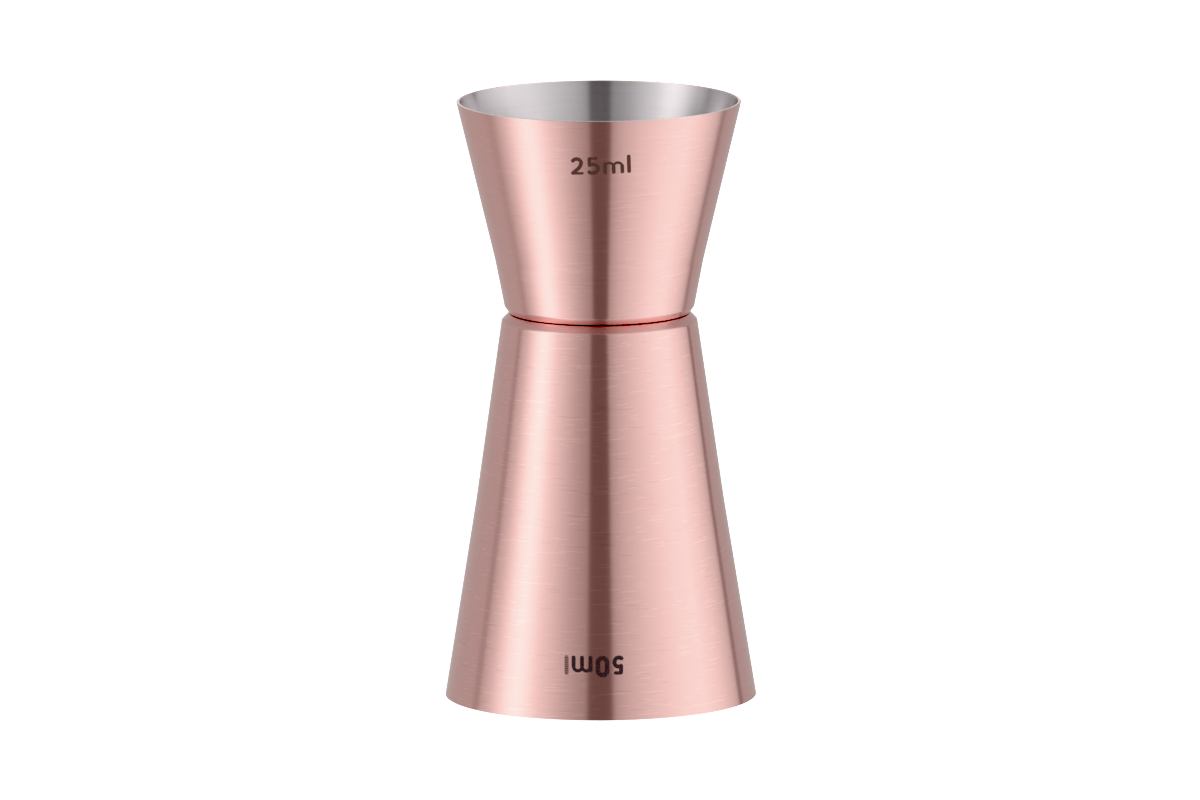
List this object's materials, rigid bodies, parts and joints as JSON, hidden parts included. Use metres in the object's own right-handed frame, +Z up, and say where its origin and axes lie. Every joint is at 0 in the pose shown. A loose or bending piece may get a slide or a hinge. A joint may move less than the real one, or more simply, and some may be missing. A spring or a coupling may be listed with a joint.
{
  "type": "bar jigger",
  "caption": "Double-ended spirit measure: a small cup standing on the closed end of a larger upturned cup, copper outside and bare steel inside.",
  "frame": {"origin": "middle of the plane of the lower rim, which the jigger stands on", "axes": "+Z up along the axis of both cups; the capacity marks face -Y"},
  "size_m": [0.044, 0.044, 0.085],
  "materials": {
    "cup_steel": "bare stainless steel, fine turned satin inside the cups",
    "copper_plating": "rose copper plating, brushed round the axis",
    "weld_steel": "resistance weld, hidden between the cups",
    "burnt_mark": "dark oxide left by marking, matt"
  },
  "bodies": {
    "root": {"small_cup": "cup_steel", "large_cup": "cup_steel", "small_cup_copper": "copper_plating", "large_cup_copper": "copper_plating", "weld_nuggets": "weld_steel", "small_cup_mark": "burnt_mark", "large_cup_mark": "burnt_mark"}
  },
  "joints": []
}
